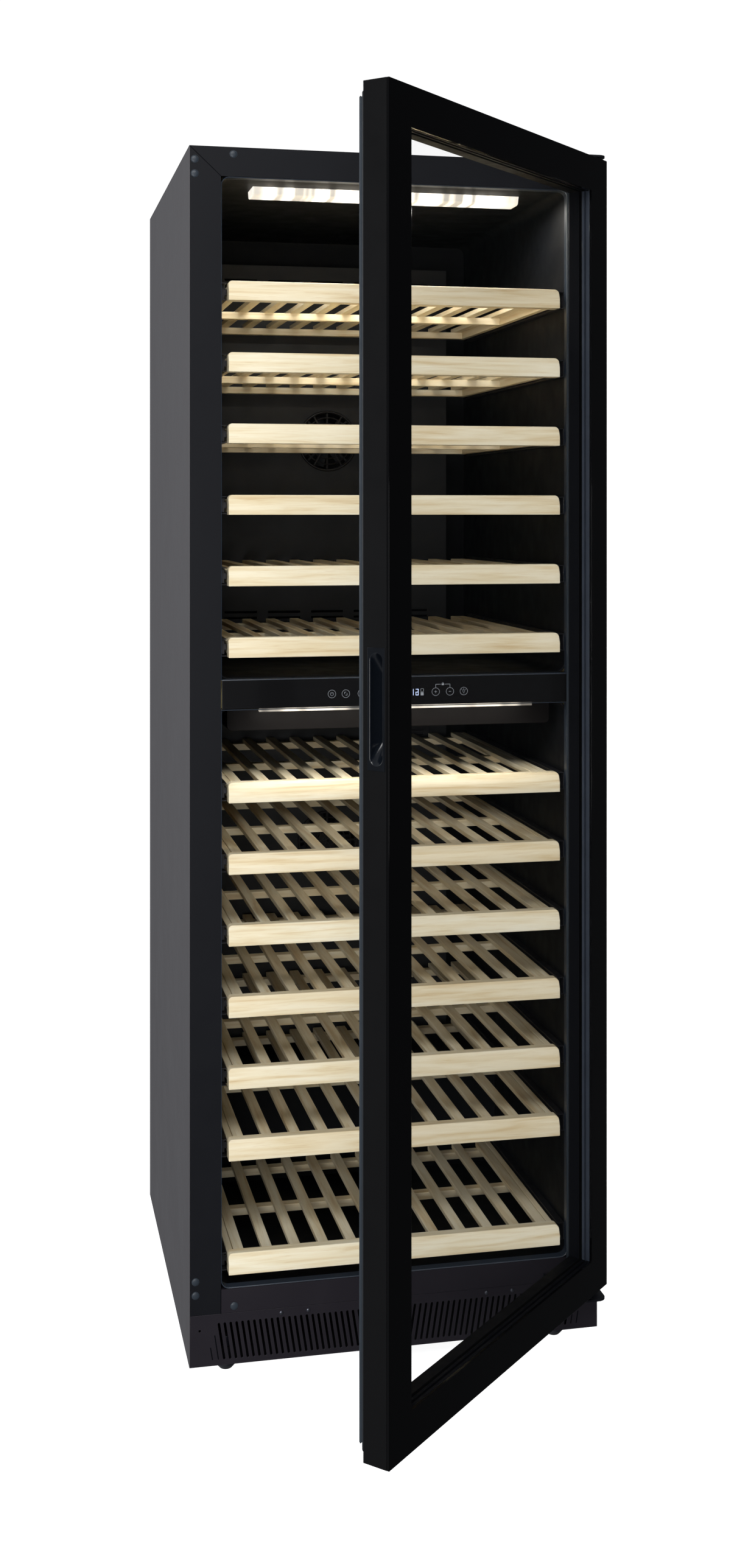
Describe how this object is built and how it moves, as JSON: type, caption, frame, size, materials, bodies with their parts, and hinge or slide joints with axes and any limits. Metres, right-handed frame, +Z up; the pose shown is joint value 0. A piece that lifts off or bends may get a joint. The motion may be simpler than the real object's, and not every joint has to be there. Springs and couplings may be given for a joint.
{
  "type": "wine cooler",
  "caption": "Tall wine cooler with an open glass door, pull-out wooden shelves in an upper and a lower zone, a control strip between them, a vented plinth and levelling feet.",
  "frame": {"origin": "on the floor, in the middle of the cabinet's width and of its depth without the door", "axes": "+Z up, the front faces -Y, +X to the right seen from the front; the door hinges at +X and rests 45 degrees open"},
  "size_m": [0.5995, 1.0771, 1.72],
  "materials": {
    "grey_paint": "satin",
    "black_paint": "satin",
    "galvanised_steel": "satin",
    "foam": "matte",
    "liner": "matte",
    "grey_plastic": "satin",
    "bright_steel": "satin",
    "rubber_black": "matte",
    "compressor_paint": "satin",
    "coil_aluminium": "satin",
    "black_plastic": "satin",
    "panel_gloss": "gloss",
    "circuit_board": "satin",
    "lamp": "gloss",
    "runner_steel": "satin",
    "door_frame_black": "satin",
    "door_glass": "gloss",
    "clear_glass": "gloss",
    "spacer_grey": "satin",
    "gasket": "matte",
    "nylon": "satin",
    "foot_plastic": "satin",
    "beech": "satin"
  },
  "bodies": {
    "cabinet": {"side_panels": "grey_paint", "top_panel": "black_paint", "back_panel": "galvanised_steel", "insulation": "foam", "upper_liner": "liner", "lower_liner": "liner", "left_stile": "black_paint", "right_stile": "black_paint", "top_rail": "black_paint", "bottom_rail": "black_paint", "hole_plugs": "grey_plastic", "plinth_grille": "black_paint", "screws": "bright_steel", "base_tray": "galvanised_steel", "machine_cover": "galvanised_steel", "cord_gland": "rubber_black", "compressor": "compressor_paint", "compressor_mounts": "rubber_black", "condenser": "coil_aluminium", "condenser_fan_frame": "black_plastic", "drain_pan": "black_plastic", "upper_air_duct": "liner", "lower_air_duct": "liner", "evaporators": "coil_aluminium", "charcoal_filters": "black_plastic", "divider_core": "foam", "control_panel": "panel_gloss", "control_board": "circuit_board", "upper_lamp": "lamp", "lower_lamp": "lamp", "slide_channels": "runner_steel", "top_hinge": "black_paint", "bottom_hinge": "black_paint"},
    "door": {"door_frame": "door_frame_black", "outer_glass": "door_glass", "inner_glass": "clear_glass", "glazing_spacer": "spacer_grey", "door_gasket": "gasket", "handle_insert": "black_plastic", "hinge_bushes": "nylon"},
    "condenser_fan": {"condenser_fan": "black_plastic"},
    "upper_fan": {"upper_fan": "grey_plastic"},
    "lower_fan": {"lower_fan": "grey_plastic"},
    "front_left_foot": {"front_left_foot": "foot_plastic"},
    "front_right_foot": {"front_right_foot": "foot_plastic"},
    "rear_left_foot": {"rear_left_foot": "foot_plastic"},
    "rear_right_foot": {"rear_right_foot": "foot_plastic"},
    "shelf_01": {"shelf_01": "beech"},
    "shelf_02": {"shelf_02": "beech"},
    "shelf_03": {"shelf_03": "beech"},
    "shelf_04": {"shelf_04": "beech"},
    "shelf_05": {"shelf_05": "beech"},
    "shelf_06": {"shelf_06": "beech"},
    "shelf_07": {"shelf_07": "beech"},
    "shelf_08": {"shelf_08": "beech"},
    "shelf_09": {"shelf_09": "beech"},
    "shelf_10": {"shelf_10": "beech"},
    "shelf_11": {"shelf_11": "beech"},
    "shelf_12": {"shelf_12": "beech"},
    "shelf_13": {"shelf_13": "beech"}
  },
  "joints": [
    {"name": "door_hinge", "type": "hinge", "parent": "cabinet", "child": "door", "pos_m": [0.273, -0.346, 0.9], "axis": [0, 0, 1], "range_deg": [-45, 60]},
    {"name": "condenser_fan_spin", "type": "hinge", "parent": "cabinet", "child": "condenser_fan", "pos_m": [-0.05, 0.205, 0.0815], "axis": [1, 0, 0], "continuous": true},
    {"name": "upper_fan_spin", "type": "hinge", "parent": "cabinet", "child": "upper_fan", "pos_m": [0, 0.248, 1.33], "axis": [0, 1, 0], "continuous": true},
    {"name": "lower_fan_spin", "type": "hinge", "parent": "cabinet", "child": "lower_fan", "pos_m": [0, 0.248, 0.64], "axis": [0, 1, 0], "continuous": true},
    {"name": "front_left_foot_screw", "type": "slide", "parent": "cabinet", "child": "front_left_foot", "axis": [0, 0, -1], "range_m": [0, 0.02]},
    {"name": "front_right_foot_screw", "type": "slide", "parent": "cabinet", "child": "front_right_foot", "axis": [0, 0, -1], "range_m": [0, 0.02]},
    {"name": "rear_left_foot_screw", "type": "slide", "parent": "cabinet", "child": "rear_left_foot", "axis": [0, 0, -1], "range_m": [0, 0.02]},
    {"name": "rear_right_foot_screw", "type": "slide", "parent": "cabinet", "child": "rear_right_foot", "axis": [0, 0, -1], "range_m": [0, 0.02]},
    {"name": "shelf_01_slide", "type": "slide", "parent": "cabinet", "child": "shelf_01", "axis": [0, -1, 0], "range_m": [0, 0.035]},
    {"name": "shelf_02_slide", "type": "slide", "parent": "cabinet", "child": "shelf_02", "axis": [0, -1, 0], "range_m": [0, 0.035]},
    {"name": "shelf_03_slide", "type": "slide", "parent": "cabinet", "child": "shelf_03", "axis": [0, -1, 0], "range_m": [0, 0.035]},
    {"name": "shelf_04_slide", "type": "slide", "parent": "cabinet", "child": "shelf_04", "axis": [0, -1, 0], "range_m": [0, 0.035]},
    {"name": "shelf_05_slide", "type": "slide", "parent": "cabinet", "child": "shelf_05", "axis": [0, -1, 0], "range_m": [0, 0.035]},
    {"name": "shelf_06_slide", "type": "slide", "parent": "cabinet", "child": "shelf_06", "axis": [0, -1, 0], "range_m": [0, 0.035]},
    {"name": "shelf_07_slide", "type": "slide", "parent": "cabinet", "child": "shelf_07", "axis": [0, -1, 0], "range_m": [0, 0.035]},
    {"name": "shelf_08_slide", "type": "slide", "parent": "cabinet", "child": "shelf_08", "axis": [0, -1, 0], "range_m": [0, 0.035]},
    {"name": "shelf_09_slide", "type": "slide", "parent": "cabinet", "child": "shelf_09", "axis": [0, -1, 0], "range_m": [0, 0.035]},
    {"name": "shelf_10_slide", "type": "slide", "parent": "cabinet", "child": "shelf_10", "axis": [0, -1, 0], "range_m": [0, 0.035]},
    {"name": "shelf_11_slide", "type": "slide", "parent": "cabinet", "child": "shelf_11", "axis": [0, -1, 0], "range_m": [0, 0.035]},
    {"name": "shelf_12_slide", "type": "slide", "parent": "cabinet", "child": "shelf_12", "axis": [0, -1, 0], "range_m": [0, 0.035]},
    {"name": "shelf_13_slide", "type": "slide", "parent": "cabinet", "child": "shelf_13", "axis": [0, -1, 0], "range_m": [0, 0.035]}
  ]
}
